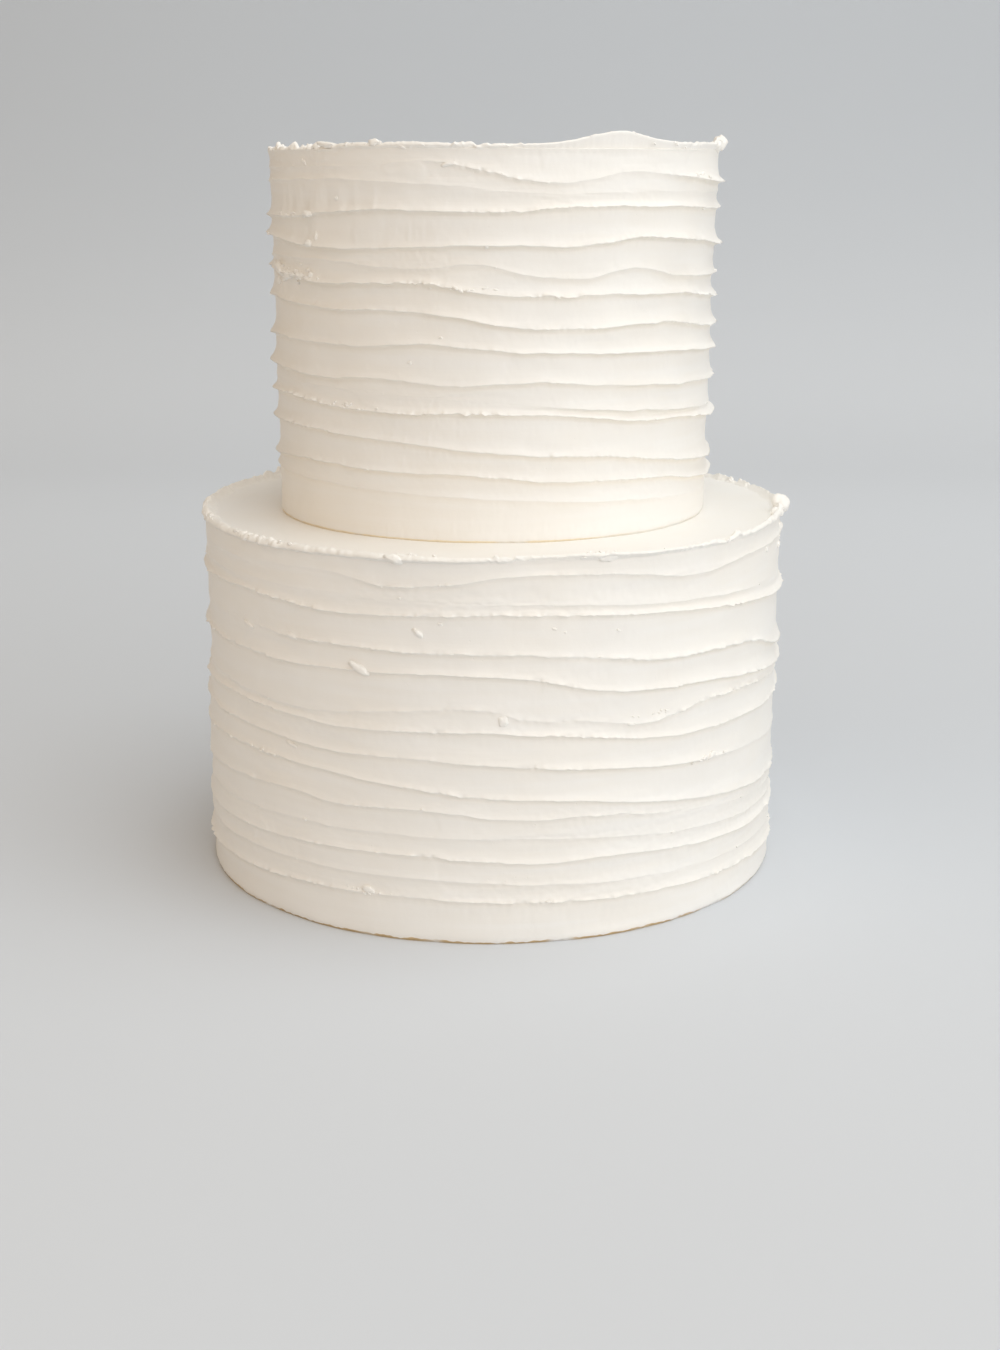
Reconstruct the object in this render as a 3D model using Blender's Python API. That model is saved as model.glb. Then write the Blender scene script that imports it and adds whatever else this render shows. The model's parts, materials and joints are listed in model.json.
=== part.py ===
"""A two-tier buttercream cake. Each tier is one solid: a drum of iced cake whose side carries the ridges that a
palette knife leaves as the cake turns, with a ragged lip of icing standing round the edge of its flat top."""

import math
import random

import bmesh
import bpy

MM = 0.001

# Driving dimensions, in metres
LOWER_RADIUS = 0.104
LOWER_HEIGHT = 0.1297
UPPER_RADIUS = 0.077
UPPER_HEIGHT = 0.1245
SEAM = 0.0003  # the gap that the upper tier's foot leaves on the lower tier

# The icing. Angles run round the tier from the front, towards the right
COLUMNS = 40
FLARE = 0.0045  # how far the upper flank of a ridge runs up the wall
FLARE_SHARE = 0.6  # and at most this share of the space to the ridge above
FLARE_DEPTH = 0.12  # what is left of the ridge's depth where the flank ends
UNDERCUT = 0.0020  # how far the lower flank runs down
UNDERCUT_SHARE = 0.3  # and at most this share of the space to the ridge below
SWELL = 0.25  # how much deeper and shallower a ridge gets on its way round
RIPPLE = 0.0005  # how far a ridge wanders off its line
RIPPLE_TURNS = (3, 5, 8)  # the waves of that wander in one turn
ROUGHNESS = 0.00025  # how far the wall is from a true cylinder
STATION = math.radians(60)  # the side stations at which a ridge's height is given

# The lip round the flat top
LIP_RISE = 0.0024  # the lip above the flat top
LIP_FLARE = 0.0010  # the lip's outer edge beyond the wall
LIP_WIDTH = 0.0022
LIP_FOOT = 0.0035  # where the lip starts to leave the wall, below the flat top
LIP_SHOULDER = 0.4  # the share of the rise between the lip's outer edge and its top
LIP_SLOPE = 0.3  # the share of the width between them
LIP_TOE = 0.2  # the share of the rise at the lip's inner edge
LIP_POINTS = 5

ICING_COLOUR = (0.87, 0.81, 0.71, 1.0)
ICING_ROUGHNESS = 0.55
SHARP_EDGE = math.radians(50)  # edges sharper than this are not shaded smooth

# Each ridge: its height above the tier's foot at the left, the front and the right, and its depth, all in mm
LOWER_RIDGES = (
    (12.5, 15.3, 10.5, 1.3),
    (20.5, 21.5, 17.0, 0.8),
    (28.0, 29.4, 24.0, 1.2),
    (35.5, 36.5, 30.5, 0.7),
    (44.0, 44.4, 36.5, 1.1),
    (55.5, 51.5, 43.0, 1.1),
    (64.8, 62.2, 54.0, 1.4),
    (73.0, 73.3, 66.5, 1.5),
    (78.5, 79.8, 75.0, 0.7),
    (91.5, 92.1, 81.5, 1.6),
    (99.8, 98.9, 91.5, 1.4),
    (112.2, 112.2, 107.0, 1.5),
    (121.0, 122.5, 121.5, 0.9),
)
UPPER_RIDGES = (
    (16.4, 14.4, 10.5, 1.3),
    (23.9, 21.9, 17.0, 2.0),
    (34.7, 29.7, 24.5, 2.1),
    (44.5, 42.6, 37.4, 2.4),
    (53.3, 51.5, 49.7, 2.1),
    (63.6, 62.6, 59.9, 2.5),
    (75.0, 71.5, 68.8, 1.9),
    (83.5, 80.1, 78.4, 2.4),
    (89.0, 87.5, 85.0, 1.0),
    (96.0, 94.9, 96.0, 2.3),
    (103.5, 105.6, 106.0, 1.9),
    (113.5, 115.4, 115.4, 1.2),
)
# The highest place on each lip: its angle round the tier, its spread and its extra height
LOWER_PEAK = (math.radians(80), math.radians(12), 0.0012)
UPPER_PEAK = (math.radians(32), math.radians(11), 0.0034)


def clear_scene():
    for old in list(bpy.data.objects):
        bpy.data.objects.remove(old)


def icing_material():
    """Satin ivory buttercream."""
    material = bpy.data.materials.new("buttercream")
    material.use_nodes = True
    shader = material.node_tree.nodes["Principled BSDF"]
    shader.inputs["Base Color"].default_value = ICING_COLOUR
    shader.inputs["Roughness"].default_value = ICING_ROUGHNESS
    shader.inputs["Metallic"].default_value = 0.0
    return material


def wander(random_source, size):
    """A small closed wave round the tier, different for each ridge."""
    phases = [random_source.uniform(0, 2 * math.pi) for _ in RIPPLE_TURNS]

    def wave(angle):
        return size * sum(math.sin(n * angle + p) for n, p in zip(RIPPLE_TURNS, phases)) / len(RIPPLE_TURNS)

    return wave


def ridge_line(left, front, right, random_source):
    """The height of a ridge at any angle: level, plus a tilt and a bow that meet its three stations, plus a wander."""
    tilt = (right - left) / (2 * math.sin(STATION))
    bow = (front - (left + right) / 2) / (1 - math.cos(2 * STATION))
    level = front - bow
    wave = wander(random_source, RIPPLE)
    return lambda angle: (level + tilt * math.sin(angle) + bow * math.cos(2 * angle)) * MM + wave(angle)


def side_outline(angle, radius, height, ridges):
    """The side at one angle as (radius, height) pairs from the foot up: each ridge is a root, a crest and a root."""
    outline = [(radius, 0.0)]
    levels = [0.0] + [line(angle) for line, depth, shift in ridges] + [height]
    for index, (line, depth, shift) in enumerate(ridges):
        below, crest, above = levels[index : index + 3]
        reach = depth * (1 + SWELL * math.sin(2 * angle + shift))
        outline.append((radius, crest - min(UNDERCUT, (crest - below) * UNDERCUT_SHARE)))
        outline.append((radius + reach, crest))
        outline.append((radius + reach * FLARE_DEPTH, crest + min(FLARE, (above - crest) * FLARE_SHARE)))
    return outline


def lip_outline(angle, radius, height, peak):
    """The lip at one angle: up the outside, over its top and down to the flat top of the tier."""
    place, spread, rise = peak
    away = math.remainder(angle - place, 2 * math.pi) / spread
    top = height + LIP_RISE + rise * math.exp(-away * away)
    return [
        (radius, height - LIP_FOOT),
        (radius + LIP_FLARE, top - LIP_SHOULDER * LIP_RISE),
        (radius + LIP_FLARE - LIP_SLOPE * LIP_WIDTH, top),
        (radius + LIP_FLARE - LIP_WIDTH, height + LIP_TOE * LIP_RISE),
        (radius - LIP_WIDTH, height),
    ]


def drum(rings):
    """A closed drum of radius 1 with a ring of vertices for each point of the outline. Its z counts the rings."""
    shell = bmesh.new()
    bmesh.ops.create_cone(
        shell, cap_ends=True, cap_tris=True, segments=COLUMNS, radius1=1, radius2=1, depth=rings - 1
    )
    uprights = [edge for edge in shell.edges if abs(edge.verts[0].co.z - edge.verts[1].co.z) > 0.5]
    bmesh.ops.subdivide_edges(shell, edges=uprights, cuts=rings - 2, use_grid_fill=True)
    bmesh.ops.translate(shell, verts=shell.verts, vec=(0, 0, (rings - 1) / 2))
    return shell


def tier(name, radius, height, foot, ridges, peak, seed, material):
    """One tier: a drum whose every vertex is moved onto the icing's outline at its own angle."""
    random_source = random.Random(seed)
    lines = [
        (ridge_line(left, front, right, random_source), depth * MM, random_source.uniform(0, 2 * math.pi))
        for left, front, right, depth in ridges
    ]
    bulge = wander(random_source, ROUGHNESS)
    rings = 1 + 3 * len(ridges) + LIP_POINTS
    shell = drum(rings)
    for vertex in shell.verts:
        ring = round(vertex.co.z)
        if math.hypot(vertex.co.x, vertex.co.y) < 0.5:
            vertex.co = (0, 0, foot + (height if ring else 0))
            continue
        angle = math.atan2(vertex.co.x, -vertex.co.y)
        wall = radius + bulge(angle)
        outline = side_outline(angle, wall, height, lines) + lip_outline(angle, wall, height, peak)
        reach, rise = outline[ring]
        vertex.co = (reach * math.sin(angle), -reach * math.cos(angle), foot + rise)
    mesh = bpy.data.meshes.new(name)
    shell.to_mesh(mesh)
    shell.free()
    mesh.shade_smooth()
    mesh.set_sharp_from_angle(angle=SHARP_EDGE)
    mesh.materials.append(material)
    piece = bpy.data.objects.new(name, mesh)
    bpy.context.scene.collection.objects.link(piece)
    return piece


def main():
    clear_scene()
    icing = icing_material()
    tier("lower_tier", LOWER_RADIUS, LOWER_HEIGHT, 0.0, LOWER_RIDGES, LOWER_PEAK, 11, icing)
    upper_foot = LOWER_HEIGHT + SEAM
    tier("upper_tier", UPPER_RADIUS, UPPER_HEIGHT, upper_foot, UPPER_RIDGES, UPPER_PEAK, 23, icing)


main()
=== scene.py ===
# A two-tier cake in ivory buttercream, spread with a palette knife.
# Lengths are in metres unless a name ends in Mm. Angles are in degrees and run round a tier from its front,
# towards the right.

import json
import math

import bmesh
import bpy
import numpy as np
from mathutils import Matrix, Vector, noise

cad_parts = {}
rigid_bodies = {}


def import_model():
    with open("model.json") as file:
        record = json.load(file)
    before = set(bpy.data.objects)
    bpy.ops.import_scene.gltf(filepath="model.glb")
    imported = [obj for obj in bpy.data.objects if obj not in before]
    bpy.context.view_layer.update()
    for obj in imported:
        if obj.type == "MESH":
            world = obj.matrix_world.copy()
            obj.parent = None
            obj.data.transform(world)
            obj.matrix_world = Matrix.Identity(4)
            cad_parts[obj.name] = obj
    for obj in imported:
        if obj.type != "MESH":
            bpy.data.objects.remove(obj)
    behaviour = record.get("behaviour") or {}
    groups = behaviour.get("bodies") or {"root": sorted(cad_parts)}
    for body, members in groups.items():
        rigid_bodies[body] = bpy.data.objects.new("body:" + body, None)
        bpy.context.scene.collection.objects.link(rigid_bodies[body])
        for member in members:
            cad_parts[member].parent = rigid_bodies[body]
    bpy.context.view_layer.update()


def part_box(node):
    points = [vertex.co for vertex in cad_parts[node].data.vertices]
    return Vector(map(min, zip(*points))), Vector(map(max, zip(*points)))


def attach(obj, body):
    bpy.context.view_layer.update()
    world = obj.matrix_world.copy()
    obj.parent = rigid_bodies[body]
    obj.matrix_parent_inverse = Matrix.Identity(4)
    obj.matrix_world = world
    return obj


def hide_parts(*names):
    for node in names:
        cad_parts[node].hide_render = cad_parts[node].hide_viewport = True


for old in list(bpy.data.objects):
    bpy.data.objects.remove(old)
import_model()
mm = 0.001
tau = 2 * math.pi


def eased(part):
    return part * part * (3 - 2 * part)


def ringNoise(dice, cells, columns):  # a closed random wave round a tier, from -1 to 1
    values = dice.uniform(-1, 1, cells)
    at = np.arange(columns) * cells / columns
    cell = at.astype(int)
    part = eased(at - cell)
    return values[cell % cells] * (1 - part) + values[(cell + 1) % cells] * part


def ringWaves(dice, columns, layers):  # several such waves at once: (how many cells, size)
    return sum(size * ringNoise(dice, cells, columns) for cells, size in layers)


def sheetNoise(dice, cellsRound, cellsUp, up):  # the same over a sheet, where up runs from 0 to 1
    columns = up.shape[1]
    values = dice.uniform(-1, 1, (cellsUp + 2, cellsRound))
    across = np.arange(columns) * cellsRound / columns
    cell = across.astype(int)
    part = eased(across - cell)
    rise = np.clip(up, 0, 1) * cellsUp
    row = rise.astype(int)
    climb = eased(rise - row)
    near, far = cell % cellsRound, (cell + 1) % cellsRound
    low = values[row, near] * (1 - part) + values[row, far] * part
    high = values[row + 1, near] * (1 - part) + values[row + 1, far] * part
    return low * (1 - climb) + high * climb


def cellsOf(around, sizeMm):  # how many cells of this size go round
    return max(3, round(around / (sizeMm * mm)))


def ragged(dice, columns, around, sizesMm):  # small torn steps of several sizes
    return sum(ringNoise(dice, cellsOf(around, size), columns) for size in sizesMm) / len(sizesMm)


def patches(dice, columns, around, sizeMm, share):  # 0 on most of the way round, 1 in a few stretches
    wave = ringNoise(dice, cellsOf(around, sizeMm), columns)
    return eased(np.clip((wave - 1 + 2 * share) / 0.5, 0, 1))


def ringAngles(columns):  # the angle of each column, from the back round by the left
    return np.arange(columns) * 360 / columns - 180


def carryRound(path, wander, dice):  # adds points for the back of the tier to a path across its front
    (firstAngle, first), (lastAngle, last) = path[0], path[-1]
    gap = firstAngle + 360 - lastAngle
    steps = 6
    points = list(path)
    for step in range(1, steps):
        part = step / steps
        points.append((lastAngle + gap * part, last + (first - last) * part + dice.uniform(-wander, wander)))
    return points


def closedCurve(points, angles):  # a smooth closed curve through (angle, value) points
    x, y = np.array(points, float).T
    x = np.concatenate((x[-2:] - 360, x, x[:2] + 360))
    y = np.concatenate((y[-2:], y, y[:2]))
    slope = np.gradient(y, x)
    at = (angles - x[2]) % 360 + x[2]
    k = np.searchsorted(x, at, side="right") - 1
    width = x[k + 1] - x[k]
    t = (at - x[k]) / width
    start = y[k] * (1 + 2 * t) * (1 - t) ** 2 + slope[k] * width * t * (1 - t) ** 2
    end = y[k + 1] * t * t * (3 - 2 * t) + slope[k + 1] * width * t * t * (t - 1)
    return start + end


def addPiece(name, mesh):
    mesh.shade_smooth()
    piece = bpy.data.objects.new(name, mesh)
    bpy.context.scene.collection.objects.link(piece)
    return piece


def loft(name, reach, height, hollow=None, joined=False):
    # One row for each ring of vertices and one column for each angle. The first and last rows are poles,
    # or the same ring where the section is joined up
    rows, columns = reach.shape
    sheet = bmesh.new()
    bmesh.ops.create_grid(sheet, x_segments=columns, y_segments=rows - 1, size=1)
    mesh = bpy.data.meshes.new(name)
    sheet.to_mesh(mesh)
    places = np.empty(len(mesh.vertices) * 3)
    mesh.vertices.foreach_get("co", places)
    places = places.reshape(-1, 3)
    lows, spans = places.min(0), np.ptp(places, 0)
    column = np.rint((places[:, 0] - lows[0]) / spans[0] * columns).astype(int) % columns
    row = np.rint((places[:, 1] - lows[1]) / spans[1] * (rows - 1)).astype(int)
    if joined:
        row %= rows - 1
    turn = (column / columns - 0.5) * tau
    places[:, 0] = reach[row, column] * np.sin(turn)
    places[:, 1] = -reach[row, column] * np.cos(turn)
    places[:, 2] = height[row, column]
    mesh.vertices.foreach_set("co", places.ravel())
    # the mask for the painted shade under the ridges and for the seam colour at the foot
    if hollow is not None:
        mesh.attributes.new("hollow", "FLOAT", "POINT").data.foreach_set("value", hollow[row, column])
    sheet.clear()
    sheet.from_mesh(mesh)
    edge = [vertex for vertex in sheet.verts if vertex.is_boundary]
    bmesh.ops.remove_doubles(sheet, verts=edge, dist=1e-6)
    if sheet.calc_volume(signed=True) < 0:
        bmesh.ops.reverse_faces(sheet, faces=sheet.faces)
    sheet.to_mesh(mesh)
    sheet.free()
    return addPiece(name, mesh)


# In the two tiers, a ridge is its crest line as (angle, height in mm), then (angle, depth in mm), then how
# torn it is. A smear is (angle, height, length, tallness, thickness in mm, tilt). A tatter is a small heap of
# crumbs: (angle, height in mm, spread in degrees, spread in mm, how many, largest in mm). A dab is a short
# upright touch of the knife: (angle, height in mm, spread in degrees, spread in mm, depth in mm)
lowerTier = {
    "name": "lower",
    "node": "lower_tier",
    "radius": 0.104,
    "height": 0.1297,
    "seed": 5,
    "slices": (5, 10),  # the side is made in three slices, parted under these ridges
    "depthShare": 0.72,
    # how far the wall stands out: (share of the height, mm at the left, mm at the right)
    "wall": [(0, 1.5, 0.3), (0.2, 1.7, 0.3), (0.4, 1.6, 0.5), (0.62, 0.2, 0.9), (0.87, 0.3, 0.6),
             (1, 0.3, 0.6)],
    "ridges": [
        ([(-75, 11.5), (-45, 14.3), (-15, 15.7), (15, 14.4), (45, 12.5), (75, 10.5)],
         [(-75, 1.6), (0, 1.7), (75, 1.6)], 0.8),
        ([(-75, 20.5), (-30, 22.2), (-15, 22.4), (0, 21.5), (30, 18.8), (75, 16.5)],
         [(-75, 0.8), (-20, 1.0), (20, 0.8), (40, 0.2), (75, 0.3)], 0.5),
        ([(-75, 27), (-45, 28.6), (-15, 30.7), (10, 28.4), (22, 28.7), (45, 25.6), (75, 24)],
         [(-75, 1.2), (-20, 1.6), (30, 1.6), (75, 1.8)], 0.7),
        ([(-75, 34.5), (-30, 36.8), (15, 36.2), (40, 32), (60, 29.3), (75, 28)],
         [(-75, 0.5), (-20, 0.7), (30, 0.6), (75, 0.4)], 0.4),
        ([(-75, 43), (-50, 46), (-40, 46.8), (-28, 45.3), (-15, 46.6), (8, 43.4), (17, 43.7), (35, 40.2),
          (60, 34.5), (75, 32.5)],
         [(-75, 1.0), (-45, 1.6), (0, 1.5), (26, 1.0), (38, 0.1), (75, 0.2)], 0.7),
        ([(-75, 55.5), (-43, 57), (-15, 54), (0, 51), (15, 49.6), (37, 43.7), (60, 38.9), (75, 37)],
         [(-75, 1.3), (-40, 1.7), (20, 1.8), (75, 1.7)], 0.7),
        ([(-75, 64.6), (-45, 64.8), (-28, 63.3), (-12, 63.5), (15, 60.5), (30, 57.8), (45, 55.6), (60, 53.7),
          (75, 52)],
         [(-75, 1.6), (0, 2.1), (42, 2.2), (56, 0.7), (75, 0.8)], 0.6),
        ([(-75, 72.6), (-52, 73.5), (-28, 72.3), (0, 73.3), (15, 71.3), (30, 67.9), (60, 66.5), (75, 66)],
         [(-75, 1.4), (-20, 1.9), (30, 2.0), (75, 1.9)], 0.6),
        ([(-75, 77.5), (-58, 76.7), (-32, 76.1), (-15, 79.6), (0, 80.3), (6, 77.2), (15, 76.5), (28, 73.1),
          (45, 77.1), (60, 76), (75, 74)],
         [(-75, 0.3), (-40, 0.5), (-10, 0.8), (18, 0.7), (30, 1.3), (55, 1.3), (75, 0.6)], 1.3),
        ([(-75, 91.5), (-55, 91.2), (-30, 91.5), (0, 92.1), (9, 90.4), (16, 87.2), (45, 83.4), (60, 80.5),
          (75, 77.8)],
         [(-75, 2.0), (-30, 2.4), (15, 2.4), (45, 2.6), (75, 2.6)], 0.8),
        ([(-75, 101), (-60, 101), (-43, 99.9), (-15, 99.5), (12, 98.3), (30, 94.5), (58, 92), (75, 84.8)],
         [(-75, 0.1), (-50, 0.1), (-40, 1.6), (0, 1.8), (75, 2.2)], 0.6),
        ([(-75, 111.9), (-50, 112.3), (-30, 110.6), (0, 112.2), (30, 110), (50, 107.5), (75, 104.5)],
         [(-75, 1.9), (0, 2.1), (75, 2.5)], 0.7),
        ([(-75, 116), (-15, 116), (15, 114.6), (30, 112.9), (55, 110.8), (75, 108.5)],
         [(-75, 0.1), (0, 0.1), (20, 0.9), (50, 0.9), (66, 0.1), (75, 0.1)], 0.3),
        ([(-75, 121.5), (-45, 123), (-30, 123.4), (-18, 120.2), (-9, 121.3), (3, 124.3), (25, 123.7),
          (38, 120.5), (55, 122.8), (75, 123.5)],
         [(-75, 0), (-42, 0), (-30, 0.5), (-18, 1.6), (0, 1.2), (38, 1.5), (60, 0.9), (75, 1.0)], 0.7),
    ],
    # the lip, by angle: its height above the flat top, how far it leans out, its roll and how torn it is
    "lip": [(-170, 3.0), (-130, 2.6), (-85, 2.2), (-60, 1.4), (-45, 1.1), (-20, 1.2), (0, 0.9), (12, 1.6),
            (30, 0.9), (45, 1.0), (62, 1.9), (75, 2.6), (81, 3.4), (87, 2.6), (105, 1.6), (130, 1.8),
            (160, 2.6)],
    "lipLean": [(-160, 0.4), (-120, 0.6), (-85, 0.6), (-60, 0.9), (-40, 0.8), (-27, 0.6), (-17, 1.5),
                (0, 1.0), (8, 0.4), (20, 1.3), (38, 1.3), (60, 1.0), (80, 0.8), (120, 0.5)],
    "lipRoll": [(-170, 1.0), (-100, 1.7), (-80, 2.2), (-45, 2.1), (-10, 1.4), (10, 0.8), (45, 1.0), (80, 1.6),
                (120, 1.0)],
    # lumps on the lip: (angle, outwards, above the flat top, length, tallness, thickness in mm, tilt)
    "lipLumps": [(81, -0.3, 2.6, 7.5, 7.0, 6.6, 0), (76, -1.2, 0.9, 6.0, 3.4, 4.4, -8),
                 (-84, -0.4, 1.0, 5.0, 2.6, 2.4, 0), (-71, 0.0, 0.6, 6.0, 2.0, 2.0, 8),
                 (-17, 1.0, 0.0, 6.0, 2.6, 2.6, 12)],
    "lipTorn": [(-170, 1.0), (-100, 2.0), (-80, 2.4), (-40, 2.3), (-10, 1.5), (30, 1.3), (60, 1.6), (85, 2.2),
                (120, 1.2)],
    "flare": 0.35,
    "seamMm": 0.75,
    "seamRaggedMm": 0.7,
    "grooveMm": 0.45,
    "footSinkMm": 0.0,
    "seamColour": (0.70, 0.50, 0.25, 1),
    "seamEnds": 0.055,  # how far to the right its colour starts to fade
    "smears": [
        (-13, 105.6, 4.6, 2.0, 1.7, 38), (-9, 108.8, 1.8, 1.0, 0.9, 10), (11, 107.2, 1.7, 0.9, 0.8, 20),
        (13, 105.9, 1.0, 0.7, 0.6, 0), (23, 105.2, 1.6, 0.9, 0.7, 30), (-24, 92.4, 8.0, 2.6, 2.1, 24),
        (2, 77.2, 3.4, 3.6, 1.3, 0), (45, 56.2, 4.2, 2.2, 1.9, -30), (-23, 16.4, 5.0, 2.4, 1.8, 10),
        (-39, 99.6, 5.0, 1.8, 1.4, 12), (-17, 129.4, 6.0, 3.0, 2.0, 14), (-14, 130.2, 3.0, 2.4, 1.6, 0),
        (21, 129.4, 6.5, 2.6, 1.8, -6), (65, 121.2, 2.0, 2.2, 1.2, 0), (80, 124.5, 3.0, 3.6, 2.2, 0),
        (76, 119.5, 3.0, 2.4, 1.8, -20), (-52, 99.5, 7.0, 1.6, 1.3, 14), (-40, 62.0, 5.0, 1.5, 1.2, 12),
    ],
    "tatters": [
        (-16, 130.2, 7, 1.4, 16, 2.4), (20, 130.4, 6, 1.2, 12, 2.2), (45, 56, 4, 1.0, 8, 1.6),
        (80, 130.4, 4, 2, 8, 1.3), (-60, 130.4, 24, 0.6, 18, 1.3), (79, 122.5, 5, 4, 8, 1.2),
        (36, 75.6, 9, 0.8, 8, 1.1), (-23, 16, 6, 0.8, 10, 1.4), (-50, 57, 9, 1.0, 10, 1.3),
    ],
    "crumbs": 150,
    "lipCrumbs": 40,
    "dabs": [(-30, 125, 14, 4, 0.16), (20, 117, 30, 4, 0.08), (-50, 84, 20, 6, 0.12), (-62, 118, 12, 5, 0.16),
             (-40, 38, 24, 8, 0.10)],
}

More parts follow.
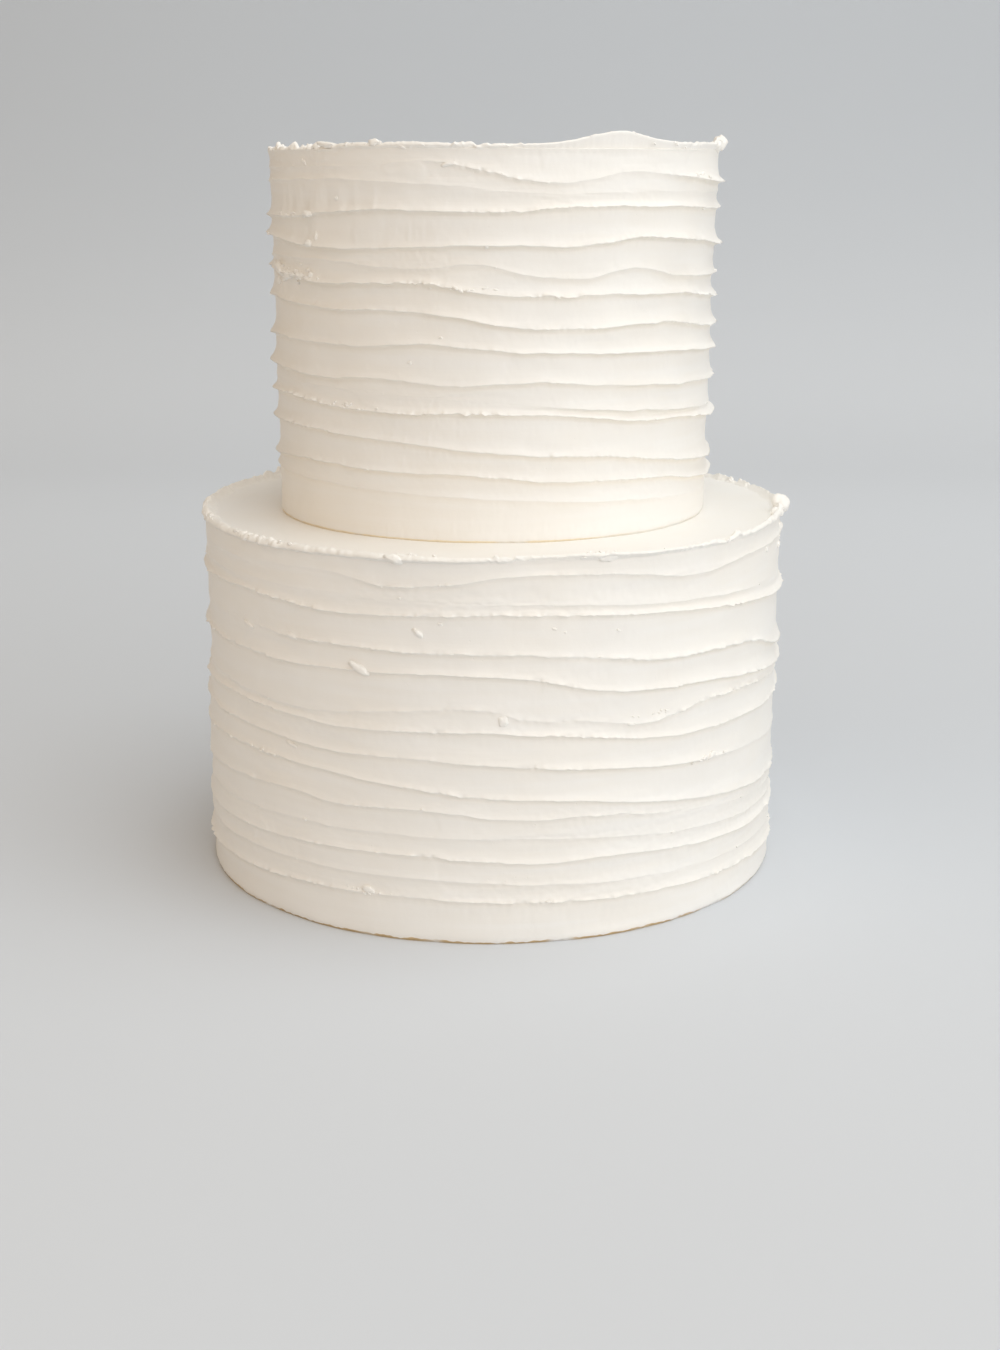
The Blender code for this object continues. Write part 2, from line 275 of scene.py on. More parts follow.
upperTier = {
    "name": "upper",
    "node": "upper_tier",
    "radius": 0.077,
    "height": 0.1245,
    "seed": 8,
    "slices": (5, 10),
    "depthShare": 1.0,
    "wall": [(0, -0.3, 0), (0.18, -0.3, 0), (0.43, 0.1, 0.8), (0.67, 0.3, 0.4), (0.9, 0.6, 1.9),
             (1, 0.5, 1.9)],
    "ridges": [
        ([(-75, 17), (-30, 16), (0, 14.4), (30, 12.2), (75, 9.5)],
         [(-75, 0.9), (0, 0.9), (40, 0.8), (60, 0.2), (75, 0.2)], 0.2),
        ([(-75, 22.4), (-58, 23.8), (-30, 22.9), (0, 21.9), (15, 20), (45, 18.5), (75, 14.4)],
         [(-75, 1.9), (0, 1.8), (60, 1.6), (75, 1.8)], 0.5),
        ([(-75, 34.9), (-30, 33.1), (0, 29.7), (15, 28.1), (28, 27.5), (45, 24.7), (75, 20.9)],
         [(-75, 2.1), (0, 1.9), (75, 2.0)], 0.5),
        ([(-75, 44.2), (-60, 44.5), (-44, 42.9), (-30, 42.1), (0, 42.6), (15, 41.5), (38, 38.5), (60, 37.4),
          (75, 35.6)],
         [(-75, 2.0), (0, 2.2), (30, 2.3), (75, 2.6)], 0.8),
        ([(-75, 48.5), (-30, 48), (0, 46), (16, 43.9), (30, 42.4), (45, 41.1), (75, 38.7)],
         [(-75, 0.1), (8, 0.1), (26, 1.2), (60, 1.1), (72, 0.2), (75, 0.2)], 0.6),
        ([(-75, 53.8), (-45, 51.8), (-30, 52.9), (-10, 51.2), (12, 52.4), (30, 50.6), (45, 49.5), (75, 48.3)],
         [(-75, 1.9), (0, 1.9), (75, 2.0)], 0.6),
        ([(-75, 63.8), (-30, 63.2), (-14, 64.4), (0, 62.6), (30, 61), (50, 60.6), (75, 58.6)],
         [(-75, 2.2), (0, 2.3), (75, 2.4)], 0.4),
        ([(-75, 76.9), (-45, 74.5), (-15, 74.2), (0, 71), (6, 69.6), (15, 69), (45, 70.1), (75, 66.5)],
         [(-75, 1.7), (-15, 1.9), (10, 2.1), (75, 1.9)], 0.5),
        ([(-75, 86.4), (-60, 84.5), (-45, 82.8), (-15, 83.3), (0, 80.1), (15, 79.4), (45, 79.4), (60, 78.4),
          (75, 76.5)],
         [(-75, 2.2), (-55, 2.6), (0, 2.2), (75, 2.4)], 0.9),
        ([(-75, 90), (-45, 89.7), (-17, 87.8), (-2, 89.2), (8, 86.2), (24, 84.9), (36, 87.8), (50, 84.9),
          (75, 83.8)],
         [(-75, 0.5), (-20, 0.8), (0, 1.1), (40, 1.1), (75, 1.4)], 0.4),
        ([(-75, 97.4), (-46, 94.2), (0, 95.3), (20, 95), (38, 97.4), (60, 96), (75, 94.2)],
         [(-75, 2.0), (-10, 2.3), (35, 2.2), (50, 3.0), (75, 3.2)], 0.5),
        ([(-75, 103.3), (-60, 103.5), (-30, 106), (0, 105.6), (28, 107.1), (75, 106)],
         [(-75, 1.5), (-30, 1.9), (40, 1.9), (75, 1.9)], 0.6),
        ([(-75, 114.7), (-30, 115), (-8, 113), (12, 110.9), (40, 111.5), (75, 110.8)],
         [(-75, 0.4), (-30, 0.5), (-14, 0.4), (0, 0.2), (75, 0.05)], 0.5),
        ([(-75, 119), (-30, 119.6), (-10, 120.4), (0, 117.4), (6, 115.4), (14, 114.2), (35, 117.4),
          (50, 116.5), (75, 114.7)],
         [(-75, 0), (-30, 0), (-14, 0.4), (-2, 1.3), (9, 1.2), (20, 0.6), (46, 0.7), (56, 1.9), (75, 2.3)],
         0.7),
    ],
    "lip": [(-170, 1.6), (-120, 1.4), (-80, 1.0), (-60, 1.1), (-45, 1.4), (-30, 2.0), (-15, 1.9), (0, 1.5),
            (18, 2.4), (26, 4.6), (33, 5.4), (40, 3.6), (48, 2.5), (65, 2.6), (76, 3.0), (86, 3.2),
            (110, 1.6), (150, 2.2)],
    "lipLean": [(-160, 0.1), (-110, -0.7), (-85, -1.0), (-60, -0.5), (-45, -0.1), (-30, 0.4), (0, 0.3),
                (33, 0.2), (60, 0.3), (80, 0.8), (120, 0.3)],
    "lipRoll": [(-170, 0.9), (-100, 1.2), (-40, 1.3), (-10, 1.0), (15, 0.6), (60, 0.7), (85, 1.1),
                (120, 0.9)],
    "lipTorn": [(-170, 0.8), (-90, 1.8), (-30, 1.8), (-5, 1.0), (20, 0.6), (60, 0.8), (80, 1.6),
                (110, 0.8)],
    "lipLumps": [(80, 0.5, 2.6, 4.2, 5.0, 4.6, 0), (75, 0.2, 1.4, 3.6, 3.2, 3.2, 10),
                 (-43, -0.3, 1.4, 8.0, 1.9, 2.2, 4), (-28, 0.2, 1.9, 3.6, 2.2, 2.0, 0),
                 (-82, -0.9, 0.5, 3.4, 1.8, 2.0, 0)],
    "flare": 0.25,
    "seamMm": 0.42,
    "seamRaggedMm": 0.15,
    "grooveMm": 0.22,
    "footSinkMm": 0.6,  # the foot goes this far into the lower tier's icing
    "seamColour": (0.97, 0.85, 0.64, 1),
    "seamEnds": 0.02,
    "smears": [
        (-50, 94.6, 4.0, 2.4, 2.2, 10), (-47.5, 97.0, 1.6, 3.0, 1.4, 0), (-50, 104.2, 5.4, 2.0, 2.0, 4),
        (-12, 66.3, 1.6, 1.0, 0.8, 0), (-52, 120.6, 3.0, 1.2, 1.2, 40), (-40, 109.3, 1.6, 1.4, 1.0, 0),
        (-10, 119.8, 4.6, 1.1, 1.1, -12), (-68, 86.2, 6.0, 3.0, 3.0, 24), (-61, 84.0, 5.4, 2.6, 2.8, -10),
        (-55, 84.2, 4.4, 2.0, 2.2, 12), (-70, 81.6, 2.6, 3.2, 2.0, 0), (-20, 58.0, 1.4, 1.2, 0.8, 0),
    ],
    "tatters": [
        (-61, 84.2, 13, 2.2, 46, 2.0), (-38, 43, 8, 0.6, 12, 1.4), (62, 116, 6, 0.8, 8, 1.4),
        (-28, 125.8, 9, 0.7, 14, 1.6), (80, 126, 4, 3, 10, 2.0), (-56, 103.6, 9, 0.8, 10, 1.4),
        (-7, 81.6, 7, 0.5, 10, 1.1),
    ],
    "crumbs": 130,
    "lipCrumbs": 30,
    "dabs": [(-48, 109, 24, 6, 0.34), (-46, 99, 20, 4, 0.2), (-62, 82, 12, 5, 0.3), (35, 112, 25, 5, 0.1),
             (-55, 58, 16, 6, 0.14), (-20, 118, 16, 4, 0.16), (-66, 70, 9, 6, 0.2)],
}

icing = {
    "columns": 1240,
    "rows": (0, 0.028, 0.065, 0.115, 0.18, 0.27, 0.38, 0.5, 0.62, 0.73, 0.82, 0.89, 0.945, 0.98),
    "flankMm": 5.0,  # the tall upper side of a ridge
    "flankShare": 0.62,  # and at most this share of the space to the ridge above
    "finMm": 1.5,  # the thin fin along its crest, which catches the light
    "finPart": 0.5,  # the part of a ridge's depth that is fin where the crest is crisp
    "underMm": 1.5,  # its short underside
    "underShare": 0.36,
    "flankPower": 1.9,  # how hollow each of its sides is
    "finPower": 1.5,
    "underPower": 1.5,
    "frontShare": 0.64,  # the part of a ridge's depth that is left at the front
    "cupMm": 0.16,  # how hollow the knife leaves the stretch between two ridges
    "droopMm": 0.5,  # how far icing hangs down where it stands out by droopDepthMm
    "droopDepthMm": 2.2,
    "wanderMm": 0.9,
    "lineWaves": ((60, 0.22), (150, 0.12)),  # how a crest line wavers: (cells round the tier, mm)
    "depthWaves": ((36, 0.20), (13, 0.16)),
    "crispWaves": ((26, 0.5),),
    "teethMm": (1.0, 1.8, 4.0),
    "tearOut": 0.8,  # how far a torn crest is pushed out and down
    "tearDown": 0.45,
    "tearMm": 0.52,  # how far from the crest it is torn
    "wallWaves": (  # (cells round the tier, cells up it, mm)
        (9, 5, 0.2), (34, 16, 0.17), (110, 34, 0.06), (46, 260, 0.06), (380, 120, 0.03),
    ),
    "layers": ((16, 22, 0.16), (40, 58, 0.07)),  # thin overlapping coats, with a step at their edges
    "scrapedMm": 0.09,  # the grain of the places that were scraped dry
    "scrapedPlaces": (11, 9),  # cells round the tier and up it
    "scrapedGrain": (420, 150),
    "dabStrokes": (110, 5),
    "dabGrain": (190, 14),
    "groove": ((-1.0, 0), (-0.9, 0.75), (-0.25, 0.95), (0, 1.3)),  # at the foot, as shares
    "grooveTeethMm": (1.2, 2.5, 5, 14),
    "grooveLimitsMm": (0.15, 1.3),  # the least and the most that it is tall
    "sinkMm": (0.10, 0.5),  # how far a slice's hidden end rows lie under its neighbour
    "coreMm": 6.0,
}


def crestLines(tier, dice):
    # The foot, the ridges and the top edge, from the foot up
    columns = icing["columns"]
    angles = ringAngles(columns)
    around = tau * tier["radius"]
    frontness = np.clip(np.cos(np.radians(angles)), 0, 1)
    share = tier["depthShare"] * (1 - (1 - icing["frontShare"]) * frontness)

    def crest(heightMm, depthMm, torn):
        return {
            "level": heightMm * mm * np.ones(columns),
            "depth": depthMm * mm * np.ones(columns),
            "torn": torn * np.minimum(depthMm / 1.2, 1),
            "teethOut": ragged(dice, columns, around, icing["teethMm"]),
            "teethDown": ragged(dice, columns, around, icing["teethMm"]),
            "crisp": np.clip(0.75 + ringWaves(dice, columns, icing["crispWaves"]), 0.3, 1),
        }

    lines = [crest(0, 0, 0)]
    for path, depth, torn in tier["ridges"]:
        line = closedCurve(carryRound(path, icing["wanderMm"], dice), angles)
        line += ringWaves(dice, columns, icing["lineWaves"])
        deep = np.maximum(closedCurve(carryRound(depth, 0.5, dice), angles), 0)
        deep *= share * (1 + ringWaves(dice, columns, icing["depthWaves"]))
        lines.append(crest(line, deep, torn * (0.5 + 1.5 * patches(dice, columns, around, 22, 0.5))))
    lines.append(crest(tier["height"] / mm, tier["flare"], 0))
    return lines


def falling(share, power):  # 1 at the start and 0 from the end on
    return np.clip(1 - share, 0, 1) ** power


def sideSheet(tier, dice):
    # The side as three arrays: each vertex's distance from the axis, its height, and a mask for the painted
    # shade where it is tucked under a ridge. crestRows says which row each ridge starts at
    columns = icing["columns"]
    lines = crestLines(tier, dice)
    reach, height, hollow, crestRows = [], [], [], []
    for low, high in zip(lines, lines[1:]):
        crestRows.append(len(reach))
        tall = high["level"] - low["level"]
        flank = np.minimum(icing["flankMm"] * mm, icing["flankShare"] * tall)
        under = np.minimum(icing["underMm"] * mm, icing["underShare"] * tall)
        cup = icing["cupMm"] * mm * (1 + 0.9 * ringNoise(dice, 14, columns))
        fin = icing["finPart"] * low["crisp"]
        for share in icing["rows"]:
            below, above = share * tall, (1 - share) * tall
            out = (1 - fin) * low["depth"] * falling(below / flank, icing["flankPower"])
            out += fin * low["depth"] * falling(below / (icing["finMm"] * mm), icing["finPower"])
            out += high["depth"] * falling(above / under, icing["underPower"])
            down = icing["droopMm"] * mm * (out / (icing["droopDepthMm"] * mm)) ** 1.5
            for line, away in ((low, below), (high, above)):
                tear = line["torn"] * mm * np.exp(-((away / (icing["tearMm"] * mm)) ** 2))
                out += icing["tearOut"] * tear * line["teethOut"]
                down += icing["tearDown"] * tear * line["teethDown"]
            reach.append(tier["radius"] + out - cup * math.sin(math.pi * share))
            height.append(low["level"] + below - down)
            # painted shade: strongest about 0.9 mm under each crest and as deep as that ridge stands out
            shade = np.exp(-(((above - 0.9 * mm) / (1.1 * mm)) ** 2)) * np.clip(below / (1.2 * mm), 0, 1)
            hollow.append(shade * np.clip(high["depth"] / (1.6 * mm), 0, 1))
    crestRows.append(len(reach))
    reach.append(tier["radius"] + lines[-1]["depth"])
    height.append(lines[-1]["level"])
    hollow.append(np.zeros(columns))
    height = np.array(height)
    return workedWall(tier, np.array(reach), height, dice), height, np.array(hollow), crestRows


def workedWall(tier, reach, height, dice):
    # What the knife leaves between the ridges: swells, thin coats, dry scraped places and touches of its tip
    angles = ringAngles(icing["columns"])
    up = height / tier["height"]
    share, left, right = np.array(tier["wall"]).T
    side = 0.5 + 0.5 * np.sin(np.radians(angles))
    reach = reach + mm * (np.interp(up, share, left) * (1 - side) + np.interp(up, share, right) * side)
    for cellsRound, cellsUp, sizeMm in icing["wallWaves"]:
        reach += mm * sizeMm * sheetNoise(dice, cellsRound, cellsUp, up)
    for cellsRound, cellsUp, stepMm in icing["layers"]:
        coat = sheetNoise(dice, cellsRound, cellsUp, up)
        coat += 0.35 * sheetNoise(dice, 4 * cellsRound, cellsUp, up)
        reach += mm * stepMm * eased(np.clip(coat / 0.12 + 0.5, 0, 1))
    scraped = eased(np.clip(sheetNoise(dice, *icing["scrapedPlaces"], up) * 2.5 - 0.5, 0, 1))
    reach += mm * icing["scrapedMm"] * scraped * sheetNoise(dice, *icing["scrapedGrain"], up)
    for angle, riseMm, wide, tallMm, deepMm in tier["dabs"]:
        across = np.exp(-(((angles - angle) / wide) ** 4))
        away = np.exp(-(((height / mm - riseMm) / tallMm) ** 4))
        touch = sheetNoise(dice, *icing["dabStrokes"], up)
        touch += 0.5 * sheetNoise(dice, *icing["dabGrain"], up)
        reach += mm * deepMm * across * away * touch
    return reach


def footRows(tier, reach, height, hollow, dice):
    # The groove at the foot, -1 in the painted-shade mask: the icing stops just above what the tier stands on
    ring = ragged(dice, icing["columns"], tau * tier["radius"], icing["grooveTeethMm"])
    seam = np.clip(tier["seamMm"] + tier["seamRaggedMm"] * ring, *icing["grooveLimitsMm"]) * mm
    rows = len(icing["groove"])
    wall = reach[0].copy()
    for row, (inwards, upwards) in enumerate(icing["groove"]):
        reach[row] = wall + inwards * tier["grooveMm"] * mm
        height[row] = upwards * seam
        hollow[row] = -1 if inwards else 0
    height[0] -= tier["footSinkMm"] * mm
    height[rows] = np.maximum(height[rows], height[rows - 1] + 0.2 * mm)


def sideSlices(tier, reach, height, hollow, crestRows):
    # Cuts the side into slices, each a closed drum that runs a little way under its neighbours
    rowsUnderCrest = 2
    cuts = [0] + [crestRows[ridge] - rowsUnderCrest for ridge in tier["slices"]] + [len(reach) - 1]
    core = np.full(icing["columns"], tier["radius"] - icing["coreMm"] * mm)
    pole = 0 * core
    pieces = []
    for part, start, stop in zip(("bottom", "middle", "top"), cuts, cuts[1:]):
        # the painted-shade mask is cut into slices with the rows
        out, up, shadeAndSeamRows = (list(rows[start : stop + 1]) for rows in (reach, height, hollow))
        for step, sink in enumerate(icing["sinkMm"], 1):
            if start:
                out.insert(0, reach[start - step] - sink * mm)
                up.insert(0, height[start - step])
                shadeAndSeamRows.insert(0, hollow[start - step])
            if stop < len(reach) - 1:
                out.append(reach[stop + step] - sink * mm)
                up.append(height[stop + step])
                shadeAndSeamRows.append(hollow[stop + step])
        if stop == len(reach) - 1:  # the shoulder, under the lip
            out += [reach[stop] - 0.4 * mm, reach[stop] - 1.6 * mm]
            up += [height[stop] + 0.1 * mm, height[stop] - 0.5 * mm]
            shadeAndSeamRows += [pole, pole]
        out = np.array([pole, core] + out + [core, pole])
        up = np.array([pole + up[0].mean(), up[0]] + up + [up[-1], pole + up[-1].mean()]) + tier["foot"]
        shadeAndSeamRows = np.array([pole, pole] + shadeAndSeamRows + [pole, pole])
        pieces.append(loft(f"{tier['name']}_side_{part}", out, up, shadeAndSeamRows))
    return pieces


slab = {
    "columns": 720,
    "rows": 120,
    "setBackMm": 0.9,  # from the thinnest place of the wall
    "thickMm": 4.0,
    "swells": ((12, 8, 0.16), (28, 16, 0.10), (18, 90, 0.03)),  # (cells round, cells inwards, mm)
    "arcMm": 0.10,
    "arcs": (4.2, 2),  # how many arcs from the rim to the middle, and how fast they wind
}


def topSlab(tier, edge, dice):
    # The flat top, swept inwards with the knife's edge in wide arcs
    ones = np.ones((1, slab["columns"]))
    edge = edge.min() - slab["setBackMm"] * mm
    share = np.linspace(1, 0, slab["rows"])[:, None] * ones
    turn = np.arange(slab["columns"])[None, :] / slab["columns"]
    inwards, winding = slab["arcs"]
    relief = slab["arcMm"] * np.abs(np.cos(tau * (share * inwards + winding * turn))) ** 3
    for cellsRound, cellsIn, sizeMm in slab["swells"]:
        relief += sizeMm * sheetNoise(dice, cellsRound, cellsIn, share)
    fade = np.clip(share / 0.12, 0, 1) * np.clip((1 - share) / 0.06, 0, 1)
    thick = slab["thickMm"] * mm
    under = np.array([-thick, -thick, -1.5 * mm])[:, None] * ones
    out = np.concatenate((0 * ones, (edge - thick) * ones, edge * ones, edge * share))
    up = np.concatenate((under, mm * relief * fade)) + tier["height"] + tier["foot"]
    return loft(f"{tier['name']}_top", out, up)


lipShape = {
    "columns": 1800,
    "footMm": (-1.0, -1.8),  # where its outer face starts, inside the wall and under the flat top
    "slopeMm": 3.2,  # how far it runs back to the flat top
    "slopeWaves": ((22, 1.1), (70, 0.5)),
    "burrs": 60,
    "burrMm": (0.9, 0.7),  # how tall and how wide the largest one is
    "teethMm": (1.1, 2.2, 5),  # the torn steps upwards, then outwards
    "leanTeethMm": (1.4, 3.5, 8),
    "lumpMm": 0.36,
    "fineMm": 1.4,  # the spacing of its lumps
    "coarseMm": 4.5,
}


def burrs(dice, columns, around):  # narrow teeth at chance places
    at = np.arange(columns) / columns
    total = np.zeros(columns)
    tallest, widest = lipShape["burrMm"]
    for _ in range(lipShape["burrs"]):
        away = (at - dice.random() + 0.5) % 1 - 0.5
        tall, wide = tallest * dice.uniform(0.3, 1), widest * mm / around * dice.uniform(0.6, 1.4)
        total += tall * np.exp(-((away / wide) ** 2))
    return total


def lipRing(tier, edge, dice):
    # The edge that the knife leaves: a torn outer face, a roll along the top and a long slope to the flat top
    columns = lipShape["columns"]
    around = tau * tier["radius"]
    angles = ringAngles(columns)
    rough = closedCurve(tier["lipTorn"], angles) * (0.2 + 0.55 * patches(dice, columns, around, 14, 0.5))
    tip = closedCurve(tier["lip"], angles) + rough * ragged(dice, columns, around, lipShape["teethMm"])
    tip = np.maximum(tip + burrs(dice, columns, around) * np.minimum(rough, 1), 0.3)
    lean = tier["flare"] + closedCurve(tier["lipLean"], angles)
    lean += 0.7 * rough * ragged(dice, columns, around, lipShape["leanTeethMm"])
    slope = lipShape["slopeMm"] + ringWaves(dice, columns, lipShape["slopeWaves"])
    roll = closedCurve(tier["lipRoll"], angles) * np.clip((tip + 1) / 2, 0.5, 1)
    footOut, footUp = lipShape["footMm"]
    footOut += tier["flare"]
    rings = []  # distance from the wall, height above the flat top, then how lumpy it is outwards and upwards
    for part in np.linspace(0, 1, 9):
        out = footOut + (lean - footOut) * part**1.3
        rings.append((out, footUp + (tip - roll - footUp) * part, part, 0))
    for turn in np.radians((18, 36, 54, 72, 90)):
        side, top = math.cos(turn), math.sin(turn)
        rings.append((lean - roll * (1 - side), tip - roll * (1 - top), side, top))
    for part in np.linspace(0.04, 1, 14):
        up = tip * (1 - part) ** 1.8 - 0.14 * part
        rings.append((lean - roll - slope * part, up, 0, 0.9 - 0.9 * part**2))
    rings += [(lean - 0.7 - slope, -0.9, 0, 0), (-1.6, -2.2, 0, 0), (footOut, footUp, 0, 0)]
    out, up, pushOut, pushUp = (np.array([ring[k] * np.ones(columns) for ring in rings]) for k in range(4))
    share = np.linspace(0, 1, len(rings))[:, None] * np.ones(columns)
    fine = sheetNoise(dice, cellsOf(around, lipShape["fineMm"]), 10, share)
    coarse = sheetNoise(dice, cellsOf(around, lipShape["coarseMm"]), 6, share)
    lumpy = lipShape["lumpMm"] * rough * (fine + 1.2 * coarse)
    out += lumpy * pushOut
    up += lumpy * pushUp
    across = np.interp(angles, np.linspace(-180, 180, len(edge) + 1), np.append(edge, edge[0]))
    up = up * mm + tier["height"] + tier["foot"]
    return loft(f"{tier['name']}_lip", across + out * mm, up, joined=True)


lumpShape = {
    "smearFaces": (24, 14),  # round it and along it
    "crumbFaces": (8, 6),
    "crumbMm": (0.35, 0.9),  # the smallest, and how much larger the largest is
    "lipCrumbMm": (0.35, 0.9),
    "uneven": 0.32,
}


def dollop(heap, place, turn, sizeMm, tilt, dice, faces):
    # One lump pressed onto the icing: long along the tier, flat against it and a little lumpy
    made = bmesh.ops.create_uvsphere(heap, u_segments=faces[0], v_segments=faces[1], radius=0.5)["verts"]
    start = Vector(dice.uniform(-50, 50, 3))
    for vertex in made:
        grain = noise.noise(vertex.co * 2.2 + start) + 0.5 * noise.noise(vertex.co * 5 + start)
        vertex.co *= 1 + lumpShape["uneven"] * grain
    length, thick, tall = (size * mm for size in sizeMm)
    shape = Matrix.Rotation(tilt, 4, "Y") @ Matrix.Diagonal((length, thick, tall, 1))
    where = Matrix.Translation(place) @ Matrix.Rotation(turn, 4, "Z")
    bmesh.ops.transform(heap, matrix=where @ shape, verts=made)


def lumps(tier, reach, height, crestRows, dice):
    # Smears and crumbs: the ones set out in the tier's lists, then small ones along the ridges and the lip
    heap = bmesh.new()
    columns = icing["columns"]
    crumb = lumpShape["crumbFaces"]

    def put(angle, out, rise, sizeMm, tilt, faces):
        turn = math.radians(angle)
        place = (out * math.sin(turn), -out * math.cos(turn), tier["foot"] + rise)
        dollop(heap, place, turn, sizeMm, tilt, dice, faces)

    def onWall(angle, rise, sizeMm, tilt, faces):
        column = round((angle / 360 + 0.5) * columns) % columns
        row = int(np.abs(height[:, column] - rise).argmin())
        put(angle, reach[row, column] + 0.02 * sizeMm[1] * mm, rise, sizeMm, tilt, faces)

    def onLip(angle, outwards, upwards, sizeMm, tilt, faces):
        column = round((angle / 360 + 0.5) * columns) % columns
        put(angle, reach[-1, column] + outwards, tier["height"] + upwards, sizeMm, tilt, faces)

    for angle, riseMm, length, tall, thick, tilt in tier["smears"]:
        onWall(angle, riseMm * mm, (length, thick, tall), math.radians(tilt), lumpShape["smearFaces"])
    for angle, riseMm, wide, tall, count, largest in tier["tatters"]:
        for _ in range(count):
            size = dice.uniform(0.5, largest)
            spot = angle + wide * dice.normal() / 2
            rise = (riseMm + tall * dice.normal() / 2) * mm
            sizes = (size * dice.uniform(1, 2.6), size * 0.8, size * dice.uniform(0.6, 1.1))
            onWall(spot, rise, sizes, dice.uniform(-0.6, 0.6), crumb)
    smallest, more = lumpShape["crumbMm"]
    for _ in range(tier["crumbs"]):
        row = crestRows[dice.integers(1, len(crestRows) - 1)]
        angle = dice.uniform(-180, 180)
        column = round((angle / 360 + 0.5) * columns) % columns
        size = smallest + more * dice.random() ** 3
        rise = height[row, column] + dice.normal() * 0.3 * mm
        onWall(angle, rise, (size * dice.uniform(1, 2.5), size, size * 0.8), dice.uniform(-0.4, 0.4), crumb)
    for angle, outMm, upMm, length, tall, thick, tilt in tier["lipLumps"]:
        sizes = (length, thick, tall)
        onLip(angle, outMm * mm, upMm * mm, sizes, math.radians(tilt), lumpShape["smearFaces"])
    smallest, more = lumpShape["lipCrumbMm"]
    for _ in range(tier["lipCrumbs"]):
        angle = dice.uniform(-180, 180)
        size = smallest + more * dice.random() ** 3
        rise = closedCurve(tier["lip"], np.array([angle]))[0] * mm * dice.uniform(0.2, 1)
        sizes = (size * dice.uniform(1, 2.4), size * 0.8, size * 0.7)
        onLip(angle, dice.uniform(-0.8, 1.1) * mm, rise, sizes, dice.uniform(-0.5, 0.5), crumb)
    mesh = bpy.data.meshes.new(f"{tier['name']}_crumbs")
    heap.to_mesh(mesh)
    heap.free()
    return addPiece(mesh.name, mesh)


class Wire:  # an output socket that Python's operators work on
    def __init__(self, socket):
        self.socket = socket

    def node(self, kind, settings=None, **sockets):  # n and a number is a socket by its place; _ is a space
        tree = self.socket.id_data
        made = tree.nodes.new(kind)
        for name, value in (settings or {}).items():
            setattr(made, name, value)
        for name, value in sockets.items():
            number = name.startswith("n") and name[1:].isdigit()
            target = made.inputs[int(name[1:]) if number else name.replace("_", " ")]
            if isinstance(value, Wire):
                tree.links.new(value.socket, target)
            else:
                target.default_value = value
        return made

    def read(self, kind, output, settings=None, **sockets):
        return Wire(self.node(kind, settings, **sockets).outputs[output])

    def maths(self, operation, first, second):
        return self.read("ShaderNodeMath", 0, {"operation": operation}, n0=first, n1=second)

    def __add__(self, other):
        return self.maths("ADD", self, other)

    __radd__ = __add__

    def __sub__(self, other):
        return self.maths("SUBTRACT", self, other)

    def __rsub__(self, other):
        return self.maths("SUBTRACT", other, self)

    def __mul__(self, other):
        return self.maths("MULTIPLY", self, other)

    __rmul__ = __mul__

    def between(self, low, high):  # 0 below low, 1 above high, smooth between them
        settings = {"interpolation_type": "SMOOTHSTEP", "clamp": True}
        return self.read("ShaderNodeMapRange", "Result", settings, Value=self, From_Min=low, From_Max=high)

    def axis(self, number):  # x is 0, y is 1 and z is 2
        return self.read("ShaderNodeSeparateXYZ", number, Vector=self)

    def stretched(self, x, y, z):
        return self.read("ShaderNodeMapping", 0, Vector=self, Scale=(x, y, z))

    def noise(self, scale, detail=3.0, roughness=0.5):
        amounts = {"Scale": scale, "Detail": detail, "Roughness": roughness}
        return self.read("ShaderNodeTexNoise", "Fac", Vector=self, **amounts)

    def cells(self, scale):
        return self.read("ShaderNodeTexVoronoi", "Distance", {"feature": "F1"}, Vector=self, Scale=scale)

    def mix(self, low, high):  # a colour from low to high
        return self.read("ShaderNodeMix", 2, {"data_type": "RGBA"}, n0=self, n6=low, n7=high)

    def feed(self, shader, name):
        self.socket.id_data.links.new(self.socket, shader.inputs[name])


def newMaterial(name):  # the material's shader, and a wire of Object coordinates
    material = bpy.data.materials.new(name)
    material.use_nodes = True
    tree = material.node_tree
    place = Wire(tree.nodes.new("ShaderNodeTexCoord").outputs["Object"])
    return material, tree.nodes["Principled BSDF"], place


buttercream = {
    "colour": (0.93, 0.907, 0.866, 1),
    "warm": (0.925, 0.892, 0.838, 1),
    "pale": (0.945, 0.928, 0.898, 1),
    "crease": (0.925, 0.865, 0.765, 1),  # painted shade: the warmer colour painted on the icing under a ridge, for light that comes through the ridge above it
    "roughness": (0.42, 0.58),
    "ior": 1.45,
    "specular": 0.35,
    "bumpMm": 0.13,
}


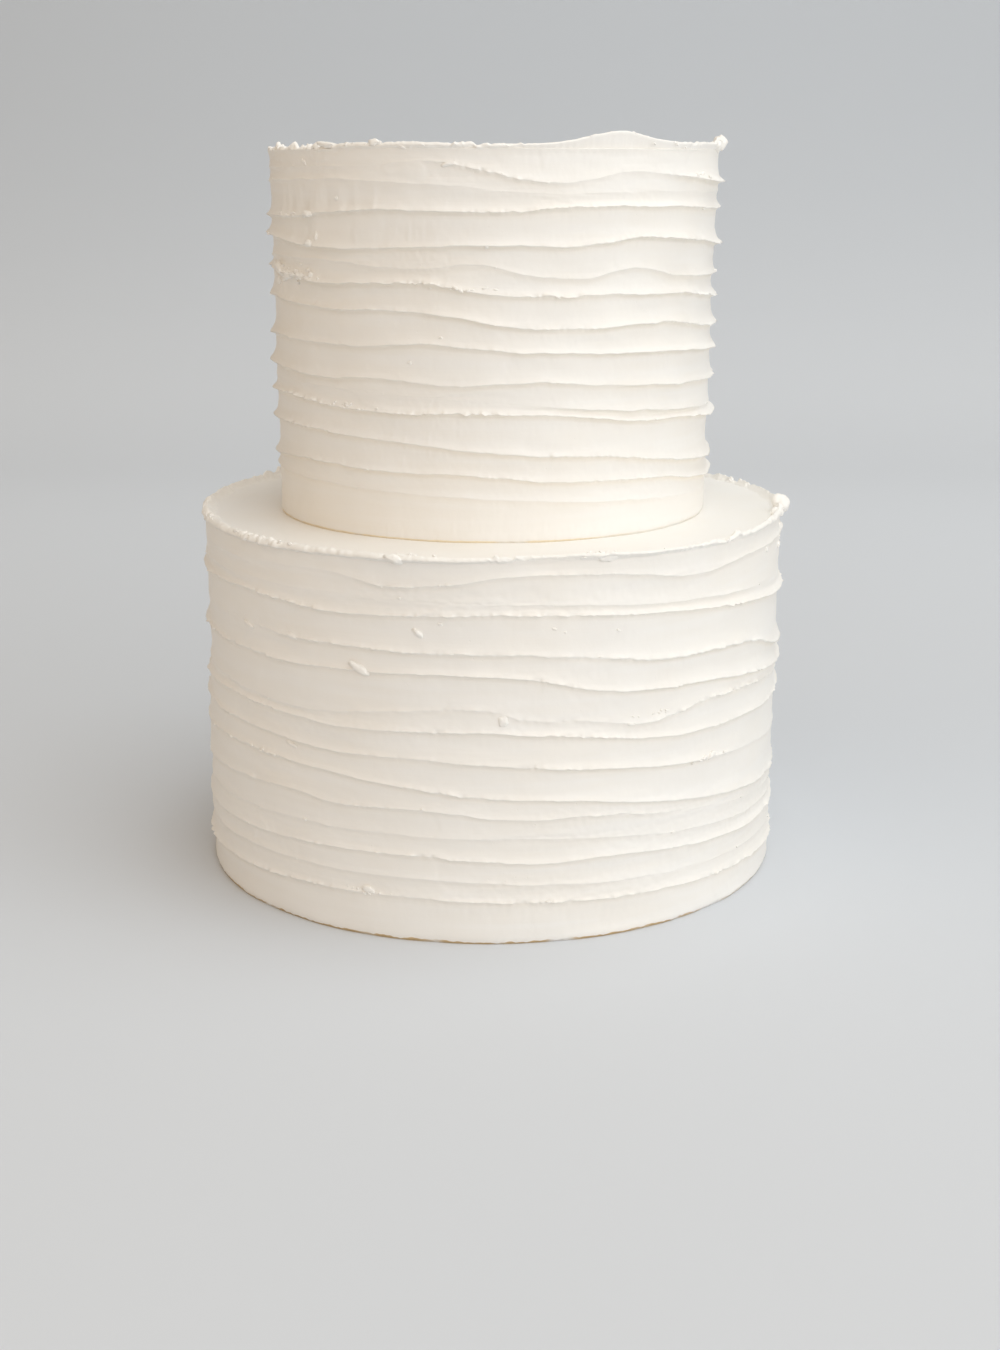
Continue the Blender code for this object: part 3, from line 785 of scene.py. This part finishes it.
def buttercreamMaterial(tier):
    look = buttercream
    material, shader, place = newMaterial(f"{tier['name']}_buttercream")

    # broad clouds of warmer and paler icing, and level streaks where it was worked
    cloud = place.noise(28, 3).between(0.35, 0.7)
    streak = place.stretched(18, 18, 260).noise(1, 4).between(0.4, 0.75)
    freckle = place.noise(1400, 2, 0.6).between(0.62, 0.8)
    colour = cloud.mix(look["colour"], look["warm"])
    colour = (streak * 0.55).mix(colour, look["pale"])
    colour = (freckle * 0.25).mix(colour, look["warm"])
    # painted shade: the mask is above 0 just under each ridge, where a warmer colour is painted, and -1 in
    # the groove at the foot
    hollow = place.read("ShaderNodeAttribute", "Fac", {"attribute_name": "hollow"})
    colour = (hollow * 0.8).mix(colour, look["crease"])

    # the seam in the groove at the foot, which comes and goes
    seam = hollow.between(-0.1, -0.6) * place.noise(60, 2).between(0.3, 0.5)
    seam = seam * (1 - 0.8 * place.axis(0).between(tier["seamEnds"], tier["seamEnds"] + 0.035))
    colour = (seam * 0.9).mix(colour, tier["seamColour"])
    colour.feed(shader, "Base Color")

    low, high = look["roughness"]
    (low + (high - low) * place.noise(160, 4)).feed(shader, "Roughness")

    # fine level marks of the knife, a soft grain and a few pinholes
    marks = place.stretched(30, 30, 1500).noise(1, 4, 0.6)
    grain = place.noise(900, 4, 0.6)
    holes = place.cells(420).between(0.16, 0.05) * place.noise(90, 1).between(0.55, 0.75)
    relief = marks * 0.35 + grain * 0.4 - holes * 0.9
    bump = place.read("ShaderNodeBump", "Normal", Strength=0.6, Distance=look["bumpMm"] * mm, Height=relief)
    bump.feed(shader, "Normal")
    shader.inputs["IOR"].default_value = look["ior"]
    shader.inputs["Specular IOR Level"].default_value = look["specular"]
    return material


def makeTier(tier):
    dice = np.random.default_rng(tier["seed"])
    tier["foot"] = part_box(tier["node"])[0][2]  # what it stands on
    reach, height, hollow, crestRows = sideSheet(tier, dice)
    footRows(tier, reach, height, hollow, dice)
    pieces = sideSlices(tier, reach, height, hollow, crestRows)
    edge = reach[-1] - tier["flare"] * mm  # where the wall would reach the flat top
    pieces.append(topSlab(tier, edge, dice))
    for piece in pieces:
        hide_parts(tier["node"])
    pieces.append(lipRing(tier, edge, dice))
    pieces.append(lumps(tier, reach, height, crestRows, dice))
    material = buttercreamMaterial(tier)
    for piece in pieces:
        piece.data.materials.append(material)
        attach(piece, "root")
        print(piece.name, len(piece.data.polygons), "faces")


makeTier(lowerTier)
makeTier(upperTier)
print("cake made")


studio = {
    "front": -1.3,  # where the floor starts
    "bend": 0.9,  # where it starts to bend up
    "bendWide": 0.8,
    "wallTall": 4.0,
    "halfWide": 1.35,
    # painted light and shade: the far floor is painted lighter and the wall darker, for how the light falls
    "floor": (0.67, 0.695, 0.73, 1),
    "far": (0.75, 0.785, 0.83, 1),
    "wall": (0.61, 0.645, 0.69, 1),
}


def makeStage():
    # A pale floor that sweeps up into a greyer wall. Its colour is painted light and shade: lighter on the
    # far floor and darker up the wall, for how the light falls on them
    profile = [(studio["front"], 0), (studio["bend"], 0)]
    turns = 12
    for turn in np.linspace(0, math.pi / 2, turns + 1)[1:]:
        across, up = math.sin(turn), 1 - math.cos(turn)
        profile.append((studio["bend"] + studio["bendWide"] * across, studio["bendWide"] * up))
    profile.append((profile[-1][0], studio["wallTall"]))
    sheet = bmesh.new()
    wide = studio["halfWide"]
    corners = [sheet.verts.new((-wide, y, z)) for y, z in profile]
    edges = [sheet.edges.new(pair) for pair in zip(corners, corners[1:])]
    made = bmesh.ops.extrude_edge_only(sheet, edges=edges)["geom"]
    moved = [item for item in made if isinstance(item, bmesh.types.BMVert)]
    bmesh.ops.translate(sheet, verts=moved, vec=(2 * wide, 0, 0))
    bmesh.ops.recalc_face_normals(sheet, faces=sheet.faces)
    mesh = bpy.data.meshes.new("backdrop")
    sheet.to_mesh(mesh)
    sheet.free()
    stage = addPiece("backdrop", mesh)
    material, shader, place = newMaterial("backdrop_paper")
    y = place.axis(1)
    colour = y.between(0.1, 0.8).mix(studio["floor"], studio["far"])
    y.between(1.1, 1.65).mix(colour, studio["wall"]).feed(shader, "Base Color")
    shader.inputs["Roughness"].default_value = 0.9
    shader.inputs["Specular IOR Level"].default_value = 0.1
    mesh.materials.append(material)


middle = (0, 0, 0.13)
lights = {  # place, what it points at, width, watts, colour
    "window": ((1.7, -1.1, 0.55), middle, 2.2, 18, (0.88, 0.95, 1.0)),
    "overhead": ((0.3, -1.6, 1.15), middle, 1.7, 6.4, (1.0, 0.98, 0.96)),
    "front_low": ((0.2, -1.25, 0.5), (0, 0, 0.05), 0.9, 0.9, (0.98, 0.98, 1.0)),
    "left_top": ((-0.9, -0.8, 1.5), middle, 1.2, 1.6, (1.0, 0.92, 0.81)),
    "warm_fill": ((-1.6, -0.5, 0.3), middle, 2.0, 3.0, (1.0, 0.69, 0.36)),
    "ceiling": ((0.5, -0.05, 1.9), (0.3, 0.6, 0), 1.4, 15.5, (0.87, 0.95, 1.0)),
}
room = {
    "light": (1.0, 0.85, 0.69, 1),
    "strength": 0.41,
    "seen": (0.50, 0.515, 0.53, 1),  # what shows past the backdrop
}


def makeLight():
    for name, (place, aim, size, watts, colour) in lights.items():
        light = bpy.data.lights.new(name, "AREA")
        light.shape = "DISK"
        light.size = size
        light.energy = watts
        light.color = colour
        lamp = bpy.data.objects.new(name, light)
        lamp.location = place
        lamp.rotation_euler = (Vector(aim) - Vector(place)).to_track_quat("-Z", "Y").to_euler()
        bpy.context.scene.collection.objects.link(lamp)
    world = bpy.data.worlds.new("studio")
    bpy.context.scene.world = world
    world.use_nodes = True
    tree = world.node_tree
    lit = tree.nodes["Background"]
    lit.inputs["Color"].default_value = room["light"]
    lit.inputs["Strength"].default_value = room["strength"]
    seen = Wire(tree.nodes.new("ShaderNodeLightPath").outputs["Is Camera Ray"])
    plain = seen.read("ShaderNodeBackground", 0, Color=room["seen"])
    both = seen.read("ShaderNodeMixShader", 0, n0=seen, n1=Wire(lit.outputs[0]), n2=plain)
    both.feed(tree.nodes["World Output"], "Surface")


view = {
    "place": (0.0027, -0.6759, 0.2479),
    "downwards": 15.21,
    "lensMm": 49.5,
    "sensorMm": 36,
}


def makeCamera():
    lens = bpy.data.cameras.new("camera")
    lens.sensor_width = view["sensorMm"]
    lens.lens = view["lensMm"]
    lens.clip_start = 0.01
    camera = bpy.data.objects.new("camera", lens)
    camera.location = view["place"]
    camera.rotation_euler = (math.radians(90 - view["downwards"]), 0, 0)
    bpy.context.scene.collection.objects.link(camera)
    bpy.context.scene.camera = camera


makeStage()
makeLight()
makeCamera()
bpy.context.scene.view_settings.view_transform = "Standard"
print("stage set")
